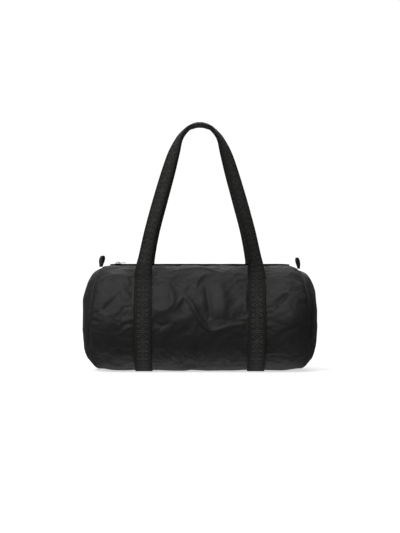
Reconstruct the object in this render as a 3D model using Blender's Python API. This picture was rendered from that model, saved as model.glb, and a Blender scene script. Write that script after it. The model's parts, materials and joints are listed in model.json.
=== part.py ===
"""Barrel duffel bag: a soft nylon tube with domed ends, a zip along the top, two handles and two end loops.

Metres, +Z up, +X along the bag, the front at -Y. The origin is on the floor under the middle of the bag.
Angles round the bag are in degrees from the top and grow towards the front: 90 is the front, 180 the base.
"""

import math

import bmesh
import bpy
from mathutils import Vector

# Driving dimensions
BAG_RADIUS = 0.1215
HALF_LENGTH = 0.260
SHOULDER = 0.080  # length of each rounded end, from the straight tube to the end of the bag
SHOULDER_POWER = 3.0  # superellipse power of the rounded end
FLAT_BASE_RISE = 0.0090  # how far the bag's own weight flattens its base
WALL = 0.0020
GAP = 0.0003  # between pieces that touch
WEBBING = 0.0020
WEBBING_WIDTH = 0.038
STRAP_X = 0.123  # middle of each sewn strap
STRAP_END = 42.0  # angle at which the strap leaves the bag and becomes the handle
HINGE_GAP = 0.6  # degrees left clear at a fold
SLOT = 3.75  # half the angle of the zip's slot
MOUTH_ANGLE = 37.5  # the fold line of the mouth's flaps
MOUTH_LEFT, MOUTH_RIGHT = -0.148, 0.170
ZIP_END = 0.2165
CHAIN_END = 0.1932
SLIDER_X = -0.183

# Worked out from them
AXIS_HEIGHT = GAP + WEBBING + BAG_RADIUS - FLAT_BASE_RISE
BASE_HEIGHT = GAP + WEBBING
STRAIGHT = HALF_LENGTH - SHOULDER
TOP = AXIS_HEIGHT + BAG_RADIUS
SEAM_SIDE = HALF_LENGTH - 0.0165

# The end seam leans back at the top, where the zip pulls it, and a little at the base
SEAM_TOP_SHIFT, SEAM_BASE_SHIFT = 0.022, 0.0035

# Zip, all heights counted from the skin at the top of the bag
TAPE = 0.0008
TAPE_TOP = -WALL - GAP
TAPE_ANGLE = 7.0
CHAIN_SLIT = 0.0007  # half the gap between the two halves
CHAIN_WIDTH = 0.0030
CHAIN_LOW, CHAIN_HIGH = TAPE_TOP + GAP, TAPE_TOP + GAP + 0.0025
STOP_LENGTH = 0.0034

# Slider and pull, heights counted from the skin at the top
SLIDER_LENGTH = 0.0140
PLATE = 0.0012
PLATE_LOW = CHAIN_HIGH + GAP
PLATE_HIGH = PLATE_LOW + PLATE
FLANGE_INSIDE, FLANGE_LOW = 0.0041, -0.0014
BELOW_HIGH, BELOW_LOW = -0.0035, -0.0045
WEB = 0.00035
PULL_AXIS = PLATE_HIGH + 0.0011
PULL_THICKNESS, PULL_WIDTH, PULL_LENGTH = 0.0012, 0.0080, 0.0180
CROWN_WIDTH, CROWN_HALF = 0.0030, 0.0042

# End loops
LOOP_WIDTH, LOOP_HEIGHT, LOOP_THICKNESS = 0.025, 0.0265, 0.0018
LOOP_HALF = 0.0058
LOOP_FOOT = 0.0023  # radius of the loop's rounded foot
LOOP_X = SEAM_SIDE - SEAM_TOP_SHIFT

# Seam binding tape inside each end
BINDING_WIDTH, BINDING_THICKNESS = 0.009, 0.0026

# Half of a handle's middle line, from the sewn end to the top: x, y, z and the webbing's twist in degrees
HANDLE_LINE = [
    (0.1230, -0.08380, 0.20790, 0),
    (0.1230, -0.08360, 0.21100, 0),
    (0.1228, -0.08360, 0.21650, 3),
    (0.1212, -0.08450, 0.23030, 18),
    (0.1188, -0.08700, 0.25050, 37),
    (0.1068, -0.09100, 0.31010, 45),
    (0.0893, -0.07950, 0.37610, 45),
    (0.0705, -0.06050, 0.44280, 47),
    (0.0575, -0.04620, 0.48740, 56),
    (0.0455, -0.03350, 0.51900, 74),
    (0.0253, -0.02400, 0.54200, 84),
    (0.0000, -0.02080, 0.54900, 76),
]

COLOURS = {
    "nylon": ((0.025, 0.025, 0.026, 1), 0.42, 0.0),
    "webbing": ((0.022, 0.021, 0.019, 1), 0.75, 0.0),
    "tape": ((0.012, 0.012, 0.012, 1), 0.85, 0.0),
    "coil": ((0.010, 0.010, 0.010, 1), 0.45, 0.0),
    "metal": ((0.55, 0.53, 0.50, 1), 0.28, 1.0),
}


def clear_scene():
    for thing in list(bpy.data.objects):
        bpy.data.objects.remove(thing)


def add_solid(name, mesh, finish, origin=(0, 0, 0), smooth_below=40):
    """Turns a closed bmesh into a named object with its own material and its origin at the given point."""
    bmesh.ops.recalc_face_normals(mesh, faces=mesh.faces)
    bmesh.ops.translate(mesh, verts=mesh.verts, vec=-Vector(origin))
    data = bpy.data.meshes.new(name)
    mesh.to_mesh(data)
    mesh.free()
    data.shade_smooth()
    data.set_sharp_from_angle(angle=math.radians(smooth_below))
    colour, roughness, metallic = COLOURS[finish]
    material = bpy.data.materials.new(name)
    material.use_nodes = True
    shader = material.node_tree.nodes["Principled BSDF"]
    shader.inputs["Base Color"].default_value = colour
    shader.inputs["Roughness"].default_value = roughness
    shader.inputs["Metallic"].default_value = metallic
    data.materials.append(material)
    made = bpy.data.objects.new(name, data)
    made.location = origin
    bpy.context.scene.collection.objects.link(made)
    return made


def loft(mesh, loops, closed=False):
    """Skins rings of points that all have the same count. Open lofts get a cap at each end."""
    rings = [[mesh.verts.new(point) for point in loop] for loop in loops]
    pairs = list(zip(rings, rings[1:]))
    if closed:
        pairs.append((rings[-1], rings[0]))
    count = len(rings[0])
    for first, second in pairs:
        for i in range(count):
            j = (i + 1) % count
            mesh.faces.new((first[i], first[j], second[j], second[i]))
    if not closed:
        mesh.faces.new(rings[0])
        mesh.faces.new(rings[-1])
    return mesh


# The bag's skin


def radius_at(x):
    """The tube's radius at x: straight in the middle, a superellipse at each rounded end."""
    along = max(0.0, (abs(x) - STRAIGHT) / SHOULDER)
    return BAG_RADIUS * (1 - along**SHOULDER_POWER) ** (1 / SHOULDER_POWER)


def end_at(radius):
    """The distance from the middle of the bag at which its rounded end has this radius."""
    share = (radius / BAG_RADIUS) ** SHOULDER_POWER
    return STRAIGHT + SHOULDER * (1 - share) ** (1 / SHOULDER_POWER)


def seam_at(angle):
    """Where the end seam lies, from the middle of the bag."""
    lift = (1 + math.cos(math.radians(angle))) / 2
    return SEAM_SIDE - SEAM_TOP_SHIFT * lift**3 - SEAM_BASE_SHIFT * (1 - lift) ** 3


def tube_x(station, angle):
    """A station along the tube, moved at the rounded ends so that the last station is the seam."""
    beyond = abs(station) - STRAIGHT
    if beyond <= 0:
        return station
    stretched = STRAIGHT + beyond * (seam_at(angle) - STRAIGHT) / (SEAM_SIDE - STRAIGHT)
    return math.copysign(stretched, station)


def outward(x, radius):
    """The skin's outward direction as (along the bag, away from its axis)."""
    along = max(0.0, (abs(x) - STRAIGHT) / SHOULDER)
    normal = Vector(
        (
            math.copysign(along ** (SHOULDER_POWER - 1) / SHOULDER, x),
            (radius / BAG_RADIUS) ** (SHOULDER_POWER - 1) / BAG_RADIUS,
        )
    )
    return normal.normalized()


def skin(x, radius, angle, offset):
    """A point over the skin by offset, with the base flattened."""
    normal = outward(x, radius)
    out = radius + offset * normal[1]
    turn = math.radians(angle)
    z = AXIS_HEIGHT + out * math.cos(turn)
    return Vector((x + offset * normal[0], -out * math.sin(turn), max(z, BASE_HEIGHT - offset)))


def tube_point(station, angle, offset):
    x = tube_x(station, angle)
    return skin(x, radius_at(x), angle, offset)


def skin_sheet(stations, angles, low, high, left_out=None):
    """A sheet that follows the skin between two offsets, without the cells that left_out(x, angle) names."""
    mesh = bmesh.new()
    cells = set()
    for i, (x0, x1) in enumerate(zip(stations, stations[1:])):
        for j, (a0, a1) in enumerate(zip(angles, angles[1:])):
            if not (left_out and left_out((x0 + x1) / 2, (a0 + a1) / 2)):
                cells.add((i, j))
    corners = sorted({(i + di, j + dj) for i, j in cells for di in (0, 1) for dj in (0, 1)})
    inner = {c: mesh.verts.new(tube_point(stations[c[0]], angles[c[1]], low)) for c in corners}
    outer = {c: mesh.verts.new(tube_point(stations[c[0]], angles[c[1]], high)) for c in corners}
    for i, j in sorted(cells):
        ring = [(i, j), (i + 1, j), (i + 1, j + 1), (i, j + 1)]
        mesh.faces.new([outer[c] for c in ring])
        mesh.faces.new([inner[c] for c in reversed(ring)])
        beside = [(i, j - 1), (i + 1, j), (i, j + 1), (i - 1, j)]
        for k, other in enumerate(beside):
            if other not in cells:
                a, b = ring[k], ring[(k + 1) % 4]
                mesh.faces.new((outer[b], outer[a], inner[a], inner[b]))
    return mesh


def angles_round(first, last, step=7.5):
    """Even steps round the bag between two angles, which are both kept."""
    count = round(360 / step)
    between = [k * step for k in range(count + 1) if first + 1 < k * step < last - 1]
    return [first, *between, last]


def make_main_panel():
    shoulder = [0.193, 0.206, 0.219, 0.232, SEAM_SIDE]
    edge = GAP + 0.0002
    stations = [-x for x in reversed(shoulder)] + [-STRAIGHT, MOUTH_LEFT - edge]
    stations += [MOUTH_RIGHT + edge, STRAIGHT] + shoulder
    fold = MOUTH_ANGLE + HINGE_GAP
    angles = angles_round(SLOT, fold)[:-1] + angles_round(fold, 360 - fold)
    angles += angles_round(360 - fold, 360 - SLOT)[1:]

    def in_mouth(x, angle):
        return MOUTH_LEFT - edge < x < MOUTH_RIGHT + edge and not fold < angle < 360 - fold

    add_solid("main_panel", skin_sheet(stations, angles, -WALL, 0, in_mouth), "nylon")


def make_end_panel(name, side):
    """A domed disc that fills the end of the tube, a thin gap inside its seam."""
    mesh = bmesh.new()
    angles = [0, SLOT, *angles_round(7.5, 352.5), 360 - SLOT]
    shares = [1.0, 0.94, 0.82, 0.62, 0.35]

    def ring(share, offset):
        points = []
        for angle in angles:
            radius = (radius_at(seam_at(angle)) - 0.0005) * share
            points.append(skin(side * end_at(radius), radius, angle, offset))
        return points

    layers = {}
    for offset in (0, -WALL):
        rings = [[mesh.verts.new(p) for p in ring(share, offset)] for share in shares]
        tip = mesh.verts.new((side * (HALF_LENGTH + offset), 0, AXIS_HEIGHT))
        layers[offset] = rings
        for first, second in zip(rings, rings[1:]):
            for i in range(len(angles)):
                j = (i + 1) % len(angles)
                mesh.faces.new((first[i], first[j], second[j], second[i]))
        for i in range(len(angles)):
            mesh.faces.new((rings[-1][i], rings[-1][(i + 1) % len(angles)], tip))
    for i in range(len(angles)):
        j = (i + 1) % len(angles)
        mesh.faces.new((layers[0][0][i], layers[0][0][j], layers[-WALL][0][j], layers[-WALL][0][i]))
    add_solid(name, mesh, "nylon")


def make_seam_binding(name, side):
    """The folded tape that covers the raw edges of the end seam, standing in from it all the way round."""
    loops = []
    for angle in [0, SLOT, *angles_round(7.5, 352.5), 360 - SLOT]:
        x = side * seam_at(angle)
        normal = outward(x, radius_at(abs(x)))
        across = Vector((normal[1], -normal[0])) * side
        turn = math.radians(angle)
        loop = []
        for depth, shift in ((0, -1), (0, 1), (1, 1), (1, -1)):
            inwards = WALL + 0.0005 + depth * BINDING_WIDTH
            at = Vector((x, radius_at(abs(x)))) - normal * inwards
            at += across * shift * BINDING_THICKNESS / 2
            z = AXIS_HEIGHT + at[1] * math.cos(turn)
            loop.append((at[0], -at[1] * math.sin(turn), z))
        loops.append(loop)
    add_solid(name, loft(bmesh.new(), loops, closed=True), "tape")


# Webbing


def make_strap(name, side):
    """The webbing sewn down the front, under the base and up the back."""
    stations = [side * STRAP_X - WEBBING_WIDTH / 2, side * STRAP_X + WEBBING_WIDTH / 2]
    angles = angles_round(STRAP_END + HINGE_GAP, 360 - STRAP_END - HINGE_GAP)
    add_solid(name, skin_sheet(stations, angles, GAP, GAP + WEBBING), "webbing")


def smooth_line(points, steps):
    """A Catmull-Rom curve through points of any dimension."""
    ends = [2 * points[0] - points[1], *points, 2 * points[-1] - points[-2]]
    line = []
    for a, b, c, d in zip(ends, ends[1:], ends[2:], ends[3:]):
        for k in range(steps):
            t = k / steps
            curve = 2 * b + (c - a) * t + (2 * a - 5 * b + 4 * c - d) * t**2
            line.append(0.5 * (curve + (3 * b - a - 3 * c + d) * t**3))
    line.append(points[-1].copy())
    return line


def handle_loops(side):
    """Cross-sections of a handle, from the sewn end at -X over the top to +X. The back one is mirrored."""
    half = smooth_line([Vector(row) for row in HANDLE_LINE], 2)
    left = [Vector((-row[0], row[1], row[2], row[3])) for row in half]
    line = left + half[-2::-1]
    loops = []
    for i, row in enumerate(line):
        before, after = line[max(i - 1, 0)], line[min(i + 1, len(line) - 1)]
        tangent = (after.xyz - before.xyz).normalized()
        flat = tangent.cross(Vector((0, -1, 0))).normalized()
        face = flat.cross(tangent)
        twist = math.radians(row[3])
        width = (flat * math.cos(twist) + face * math.sin(twist)) * WEBBING_WIDTH / 2
        depth = width.normalized().cross(tangent) * WEBBING / 2
        loop = [row.xyz + a * width + b * depth for a, b in ((-1, -1), (1, -1), (1, 1), (-1, 1))]
        loops.append([Vector((p.x, p.y * side, p.z)) for p in loop])
    return loops


def make_handle(name, side):
    pivot = (0, side * HANDLE_LINE[0][1], HANDLE_LINE[0][2])
    add_solid(name, loft(bmesh.new(), handle_loops(side)), "webbing", origin=pivot)


def make_end_loop(name, side):
    """A folded strip of webbing standing on the end seam: seen along Y, a leaf with a rounded foot."""
    outer, inner = [], []
    foot_turns, top_turns = 8, 12
    rise = LOOP_HEIGHT - LOOP_FOOT - LOOP_HALF
    for k in range(top_turns + 1):
        turn = math.pi * k / top_turns
        outer.append((LOOP_HALF * math.cos(turn), rise + LOOP_HALF * math.sin(turn)))
        hole = LOOP_HALF - LOOP_THICKNESS
        inner.append((hole * math.cos(turn), rise + hole * math.sin(turn)))
    for k in range(foot_turns + 1):
        turn = math.pi * (1 + k / foot_turns)
        outer.append((LOOP_FOOT * math.cos(turn), LOOP_FOOT * math.sin(turn)))
        hole = LOOP_FOOT * 0.35
        inner.append((hole * math.cos(turn), LOOP_FOOT + hole * math.sin(turn)))
    height = AXIS_HEIGHT + radius_at(LOOP_X) + LOOP_FOOT + GAP
    pivot = Vector((side * LOOP_X, 0, height))
    near, far = -LOOP_WIDTH / 2, LOOP_WIDTH / 2
    edges = ((outer, near), (outer, far), (inner, far), (inner, near))
    loops = [[pivot + Vector((x, y, z)) for x, z in edge] for edge, y in edges]
    add_solid(name, loft(bmesh.new(), loops, closed=True), "webbing", origin=pivot)


# Zip and mouth


def mouth_pivot(side):
    """A point on the fold line of a mouth flap. Side is -1 at the front and 1 at the back."""
    turn = math.radians(MOUTH_ANGLE)
    out = BAG_RADIUS - WALL / 2
    return Vector((0, side * out * math.sin(turn), AXIS_HEIGHT + out * math.cos(turn)))


def make_mouth_panel(name, side):
    angles = angles_round(SLOT, MOUTH_ANGLE)
    if side > 0:
        angles = [360 - angle for angle in reversed(angles)]
    mesh = skin_sheet([MOUTH_LEFT, MOUTH_RIGHT], angles, -WALL, 0)
    add_solid(name, mesh, "nylon", origin=mouth_pivot(side))


def make_tape(name, side, stations, origin=(0, 0, 0)):
    """One half of the zip's tape, under the edge of the panel that it is sewn to."""
    inside = math.degrees(CHAIN_SLIT / BAG_RADIUS)
    angles = [inside, SLOT, TAPE_ANGLE]
    if side > 0:
        angles = [360 - angle for angle in reversed(angles)]
    add_solid(name, skin_sheet(stations, angles, TAPE_TOP - TAPE, TAPE_TOP), "tape", origin=origin)


def rail_loops(stations, side, near, far, low, high):
    """Rectangles across the zip at each station, with heights counted from the skin."""
    loops = []
    for x in stations:
        skin_height = AXIS_HEIGHT + radius_at(x)
        corners = ((near, low), (far, low), (far, high), (near, high))
        loops.append([(x, side * y, skin_height + z) for y, z in corners])
    return loops


def make_chain(name, side, stations, origin=(0, 0, 0)):
    """One half of the zip's coil as a plain rail."""
    loops = rail_loops(stations, side, CHAIN_SLIT, CHAIN_SLIT + CHAIN_WIDTH, CHAIN_LOW, CHAIN_HIGH)
    add_solid(name, loft(bmesh.new(), loops), "coil", origin=origin)


def make_stop(name, side, x, near, far):
    stations = [x - STOP_LENGTH / 2, x + STOP_LENGTH / 2]
    loops = rail_loops(stations, side, near, far, CHAIN_LOW, CHAIN_HIGH + 0.0002)
    add_solid(name, loft(bmesh.new(), loops), "metal")


def make_slider():
    """Two plates joined by a thin web that runs in the slit between the chain's halves."""
    loops = []
    for share, half in ((-0.5, 0.0050), (-0.3, 0.0060), (0.1, 0.0060), (0.5, 0.0050)):
        right = [
            (WEB, BELOW_HIGH),
            (WEB, PLATE_LOW),
            (FLANGE_INSIDE, PLATE_LOW),
            (FLANGE_INSIDE, FLANGE_LOW),
            (half, FLANGE_LOW),
            (half, PLATE_HIGH - 0.0003),
            (half - 0.0003, PLATE_HIGH),
        ]
        below = [(half - 0.0006, BELOW_LOW), (half - 0.0006, BELOW_HIGH)]
        edge = below + right
        ring = edge + [(-y, z) for y, z in reversed(edge)]
        x = SLIDER_X + share * SLIDER_LENGTH
        loops.append([(x, y, TOP + z) for y, z in ring])
    add_solid("zip_slider", loft(bmesh.new(), loops), "metal", origin=(SLIDER_X, 0, TOP))


def make_crown():
    """The arch on the slider that holds the pull."""
    steps = 8
    low = PLATE_HIGH + GAP
    outer, inner = [], []
    for k in range(steps + 1):
        turn = math.pi * k / steps
        outer.append((CROWN_HALF * math.cos(turn), low + 0.0034 * math.sin(turn) ** 0.6))
        inner.append((0.0028 * math.cos(turn), low + 0.0021 * math.sin(turn) ** 0.6))
    ring = outer + list(reversed(inner))
    loops = []
    for y in (-CROWN_WIDTH / 2, CROWN_WIDTH / 2):
        loops.append([(SLIDER_X + x, y, TOP + z) for x, z in ring])
    add_solid("zip_crown", loft(bmesh.new(), loops), "metal", origin=(SLIDER_X, 0, TOP))


def make_pull():
    """A flat tab whose round cross pin runs under the crown."""
    pin, arm = 0.0006, 0.0022
    window = CROWN_HALF + 0.0014
    axis = Vector((SLIDER_X, 0, TOP + PULL_AXIS))
    half, thick = PULL_WIDTH / 2, PULL_THICKNESS / 2
    outline = [(-pin, -half), (0.6 * PULL_LENGTH, -half), (PULL_LENGTH - 0.001, -half * 0.72)]
    outline += [(PULL_LENGTH, -half * 0.4), (PULL_LENGTH, half * 0.4)]
    outline += [(PULL_LENGTH - 0.001, half * 0.72), (0.6 * PULL_LENGTH, half), (-pin, half)]
    hole = [(pin, -arm), (window, -arm), (window, -arm * 0.5), (window, -arm * 0.2)]
    hole += [(window, arm * 0.2), (window, arm * 0.5), (window, arm), (pin, arm)]
    loops = [
        [axis + Vector((x, y, z)) for x, y in edge]
        for edge, z in ((outline, -thick), (outline, thick), (hole, thick), (hole, -thick))
    ]
    add_solid("zip_pull", loft(bmesh.new(), loops, closed=True), "metal", origin=axis)


def make_zip():
    left = [-ZIP_END, -0.212, -0.2035, -CHAIN_END, MOUTH_LEFT - GAP]
    right = [MOUTH_RIGHT + GAP, CHAIN_END, 0.2035, 0.212, ZIP_END]
    middle = [MOUTH_LEFT, MOUTH_RIGHT]
    for word, side in (("front", -1), ("back", 1)):
        make_mouth_panel(f"mouth_panel_{word}", side)
        make_tape(f"zip_tape_{word}", side, middle, mouth_pivot(side))
        make_tape(f"zip_tape_{word}_left", side, left)
        make_tape(f"zip_tape_{word}_right", side, right)
        make_chain(f"zip_coil_{word}", side, middle, mouth_pivot(side))
        make_chain(f"zip_coil_{word}_left", side, [-CHAIN_END, -STRAIGHT, MOUTH_LEFT - GAP])
        make_chain(f"zip_coil_{word}_right", side, [MOUTH_RIGHT + GAP, STRAIGHT, CHAIN_END])
        top_stop = -CHAIN_END - GAP - STOP_LENGTH / 2
        make_stop(f"zip_top_stop_{word}", side, top_stop, CHAIN_SLIT, CHAIN_SLIT + CHAIN_WIDTH)
    make_stop("zip_bottom_stop", 1, CHAIN_END + GAP + STOP_LENGTH / 2, -CHAIN_WIDTH, CHAIN_WIDTH)
    make_slider()
    make_crown()
    make_pull()


def main():
    clear_scene()
    make_main_panel()
    make_zip()
    for word, side in (("left", -1), ("right", 1)):
        make_end_panel(f"end_panel_{word}", side)
        make_seam_binding(f"seam_binding_{word}", side)
        make_strap(f"strap_{word}", side)
        make_end_loop(f"end_loop_{word}", side)
    for word, side in (("front", 1), ("back", -1)):
        make_handle(f"handle_{word}", side)


main()
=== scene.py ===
"""The looks of a black nylon barrel duffel bag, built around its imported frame.

Metres, +Z up, +X along the bag, the front at -Y. Places on the bag's skin are given as x along the bag and an
angle down from the top in degrees: 0 is the top, 90 a side and 180 the base. Each half of the sheet, in front
and behind, counts its own angle from 0 to 180. Straps, end panels and end seams go on round the bag: theirs
starts down the front side and passes 180 or goes below 0 behind.
"""

import json
import math

import bpy
import numpy as np
from mathutils import Matrix, Vector

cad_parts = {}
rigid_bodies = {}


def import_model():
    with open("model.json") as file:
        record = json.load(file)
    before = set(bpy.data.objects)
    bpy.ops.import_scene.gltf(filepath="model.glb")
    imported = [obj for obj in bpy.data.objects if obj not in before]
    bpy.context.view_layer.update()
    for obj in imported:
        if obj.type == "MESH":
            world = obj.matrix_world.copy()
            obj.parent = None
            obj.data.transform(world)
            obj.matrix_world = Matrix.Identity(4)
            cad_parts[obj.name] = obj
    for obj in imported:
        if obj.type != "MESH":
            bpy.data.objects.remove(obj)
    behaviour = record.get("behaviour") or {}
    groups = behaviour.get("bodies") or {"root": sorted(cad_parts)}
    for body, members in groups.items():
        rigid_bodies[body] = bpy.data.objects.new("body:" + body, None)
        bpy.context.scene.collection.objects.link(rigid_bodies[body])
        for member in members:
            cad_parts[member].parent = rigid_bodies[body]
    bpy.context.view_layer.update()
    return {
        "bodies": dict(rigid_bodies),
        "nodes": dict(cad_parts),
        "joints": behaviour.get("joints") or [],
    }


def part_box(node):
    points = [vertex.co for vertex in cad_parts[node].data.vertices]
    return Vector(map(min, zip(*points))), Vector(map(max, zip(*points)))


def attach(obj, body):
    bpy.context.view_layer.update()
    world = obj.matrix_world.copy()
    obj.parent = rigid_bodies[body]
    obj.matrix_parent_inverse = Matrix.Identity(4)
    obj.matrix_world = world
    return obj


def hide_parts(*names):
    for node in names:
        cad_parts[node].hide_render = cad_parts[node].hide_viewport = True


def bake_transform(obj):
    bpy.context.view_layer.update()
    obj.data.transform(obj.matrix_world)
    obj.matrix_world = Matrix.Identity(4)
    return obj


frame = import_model()

# The bag's measures, from the frame
PANEL_LOW, PANEL_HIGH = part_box("main_panel")
HALF_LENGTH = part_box("end_panel_right")[1].x
BASE_HEIGHT = PANEL_LOW.z
RADIUS = PANEL_HIGH.y
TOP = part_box("mouth_panel_front")[1].z
AXIS_HEIGHT = PANEL_HIGH.z - RADIUS
STRAP_X = (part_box("strap_right")[0].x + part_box("strap_right")[1].x) / 2
WEBBING_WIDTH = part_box("strap_right")[1].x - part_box("strap_right")[0].x
ZIP_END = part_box("zip_tape_front_right")[1].x
CHAIN_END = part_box("zip_coil_front_right")[1].x
JOINTS = {joint["name"]: joint for joint in frame["joints"]}

# The bag's form
SHOULDER = 0.080  # length of a rounded end
SHOULDER_POWER = 3.0  # 2 rounds the ends like an ellipse, more makes them squarer
STRAIGHT = HALF_LENGTH - SHOULDER
SEAM_SIDE = HALF_LENGTH - 0.0165  # x of the end seam where it lies furthest out
SEAM_TOP_SHIFT, SEAM_BASE_SHIFT = 0.022, 0.0035  # how much further in it lies at the top and at the base
EDGE_ANGLE = 7.6  # the sheet's folded edge beside the zip
CLOTH, WEBBING = 0.0014, 0.0021  # thicknesses
STRAP_END = 42.2  # the angle at which a strap leaves the bag as a handle
STRAP_GAP, SKIN_GAP = 0.0004, 0.0002  # a strap lies over the bag's skin and the cloth under it
STITCH_INSET = 0.0032  # from the webbing's selvedge to its row of stitches
BASE_SOFTNESS = 0.004  # how gently the sides bend into the flat base
SEAM_DIP, SEAM_SWELL = 0.0026, 0.0008
FOLD_STRENGTH = 1.35
BASE_CALM = 0.5  # the share of the folds and gathers that is lost towards the base
ZIP_STITCH_LINE = 0.0035  # from the sheet's folded edge to its row of stitches

# How the half-empty ends settle: their tops sink between two distances along the bag, their base corners rise
RIGHT_SINK, RIGHT_SINK_SPAN = 0.0055, (0.190, 0.230)
LEFT_SINK, LEFT_SINK_SPAN = 0.0025, (0.212, 0.240)
CORNER_RISE, CORNER_X, CORNER_WIDTH = 0.0026, 0.212, 0.020

# The cloth simulation of the sheet, on a grid of columns along the bag and rows round each half of it
CLOTH_COLUMNS, CLOTH_ROWS, CLOTH_FRAMES = 161, 93, 14
SPARE_CLOTH = 0.010  # how much longer the cloth is than the skin that it covers
CLOTH_HOLD = 0.12  # how firmly the bag's filling holds it in place
CLOTH_CAP = 0.0035  # the furthest that a point may move

# Half of a handle's middle line: x, y and z in metres, and the webbing's twist in degrees
HANDLE_LINE = [
    (0.1230, -0.08380, 0.20790, 0),
    (0.1230, -0.08360, 0.21100, 0),
    (0.1228, -0.08360, 0.21650, 3),
    (0.1212, -0.08450, 0.23030, 18),
    (0.1188, -0.08700, 0.25050, 37),
    (0.1068, -0.09100, 0.31010, 45),
    (0.0893, -0.07950, 0.37610, 45),
    (0.0705, -0.06050, 0.44280, 47),
    (0.0575, -0.04620, 0.48740, 56),
    (0.0455, -0.03350, 0.51900, 74),
    (0.0290, -0.02500, 0.53900, 82),
    (0.0150, -0.02180, 0.54650, 80),
    (0.0060, -0.02090, 0.54900, 79),
    (0.0000, -0.02080, 0.54930, 79),
]

# Pitch, length and radius of each row of stitches
STRAP_STITCH = (0.0042, 0.0034, 0.00038)
BINDING_STITCH = (0.0040, 0.0032, 0.0003)
COIL_STITCH = (0.0028, 0.0026, 0.0003)
ZIP_STITCH = (0.0036, 0.0029, 0.00034)

# Soft folds on the front: width and height in metres, negative for a valley, then points of x in metres and
# angle in degrees
FRONT_FOLDS = [
    (0.0060, -0.0026, [(-0.207, 80), (-0.194, 73), (-0.180, 65)]),
    (0.0035, 0.0016, [(-0.171, 103), (-0.158, 98), (-0.146, 96)]),
    (0.0120, 0.0030, [(-0.215, 44), (-0.188, 40), (-0.150, 38)]),
    (0.0110, 0.0022, [(-0.190, 62), (-0.168, 58), (-0.146, 64)]),
    (0.0100, 0.0036, [(-0.096, 44), (-0.072, 50), (-0.062, 61), (-0.060, 72), (-0.074, 79), (-0.102, 80)]),
    (0.0065, 0.0030, [
        (-0.050, 77), (-0.034, 66), (-0.018, 73), (-0.004, 86),
        (0.018, 98), (0.036, 99), (0.066, 95), (0.096, 93),
    ]),
    (0.0070, 0.0024, [(-0.010, 54), (0.000, 43), (0.014, 36)]),
    (0.0160, 0.0030, [(0.040, 48), (0.049, 62), (0.051, 76), (0.048, 88)]),
    (0.0070, -0.0026, [(0.012, 52), (0.017, 66), (0.020, 80), (0.024, 88)]),
    (0.0055, 0.0022, [(-0.062, 30), (-0.030, 25), (0.000, 21), (0.022, 27), (0.048, 35)]),
    (0.0080, 0.0022, [(0.070, 38), (0.096, 31)]),
    (0.0240, 0.0045, [(0.176, 74), (0.196, 84), (0.206, 96)]),
    (0.0070, 0.0022, [(0.158, 70), (0.184, 62), (0.214, 66), (0.232, 66)]),
    (0.0120, 0.0026, [(-0.050, 150), (0.020, 148), (0.096, 146)]),
    (0.0070, 0.0026, [(0.178, 158), (0.200, 140), (0.226, 132)]),
    (0.0090, 0.0022, [(-0.226, 118), (-0.200, 140), (-0.165, 152)]),
    (0.0040, -0.0045, [(-0.178, 10), (-0.160, 16), (-0.142, 21)]),
    (0.0070, -0.0024, [(-0.104, 90), (-0.084, 95), (-0.066, 92)]),
]

# The same on the back, which is calmer
BACK_FOLDS = [
    (0.0080, 0.0028, [(-0.100, 60), (-0.070, 66), (-0.044, 84), (0.000, 92), (0.060, 84), (0.100, 90)]),
    (0.0110, 0.0026, [(-0.060, 38), (-0.010, 46), (0.034, 40), (0.090, 30)]),
    (0.0060, 0.0022, [(0.148, 84), (0.174, 76), (0.206, 80)]),
    (0.0120, 0.0028, [(-0.214, 52), (-0.184, 64), (-0.148, 60)]),
    (0.0070, 0.0024, [(-0.206, 110), (-0.180, 102), (-0.148, 106)]),
    (0.0100, 0.0026, [(-0.070, 140), (0.000, 146), (0.080, 138)]),
    (0.0080, 0.0024, [(0.160, 130), (0.194, 140), (0.222, 128)]),
]

# The picture's stage
CAMERA_DISTANCE, PICTURE_HEIGHT, SENSOR = 3.0, 1.1912, 36.0
CAMERA_SIDE, CAMERA_BELOW_TOP = 0.0003, 0.0049
FLOOR_RADIUS = 3.0
# The studio as soft glows: towards (x, y, z), facing shares of the edge and the middle, and their strengths
STUDIO_LIGHTS = [
    ((-0.30, -0.55, 0.78), -0.25, 0.95, 0.035, 0.46),
    ((0, 0.45, -0.89), 0.88, 0.99, 0.0, 1.4),
    ((0, 0.90, 0.42), 0.86, 0.99, 0.0, 1.1),
]


# Plain mathematics


def smooth_step(low, high, value):
    share = np.clip((value - low) / (high - low), 0, 1)
    return share * share * (3 - 2 * share)


def soft_noise(x, y, size, seed):
    """Gradient noise from about -1 to 1 on a plane, with features of about this size."""
    count = 64
    turns = np.random.default_rng(seed).uniform(0, 2 * math.pi, (count, count))
    u, v = np.asarray(x) / size + count, np.asarray(y) / size + count
    i, j = np.floor(u).astype(int), np.floor(v).astype(int)
    fu, fv = u - i, v - j

    def corner(di, dj):
        turn = turns[(i + di) % count, (j + dj) % count]
        return np.cos(turn) * (fu - di) + np.sin(turn) * (fv - dj)

    su, sv = fu**3 * (fu * (fu * 6 - 15) + 10), fv**3 * (fv * (fv * 6 - 15) + 10)
    near = corner(0, 0) * (1 - su) + corner(1, 0) * su
    far = corner(0, 1) * (1 - su) + corner(1, 1) * su
    return 1.5 * (near * (1 - sv) + far * sv)


def smooth_line(points, steps):
    """A Catmull-Rom curve through points of any dimension, as an array."""
    points = [np.array(point, float) for point in points]
    ends = [2 * points[0] - points[1], *points, 2 * points[-1] - points[-2]]
    line = []
    for a, b, c, d in zip(ends, ends[1:], ends[2:], ends[3:]):
        for k in range(steps):
            t = k / steps
            curve = 2 * b + (c - a) * t + (2 * a - 5 * b + 4 * c - d) * t**2
            line.append(0.5 * (curve + (3 * b - a - 3 * c + d) * t**3))
    line.append(points[-1])
    return np.array(line)


# The skin of the bag


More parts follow.
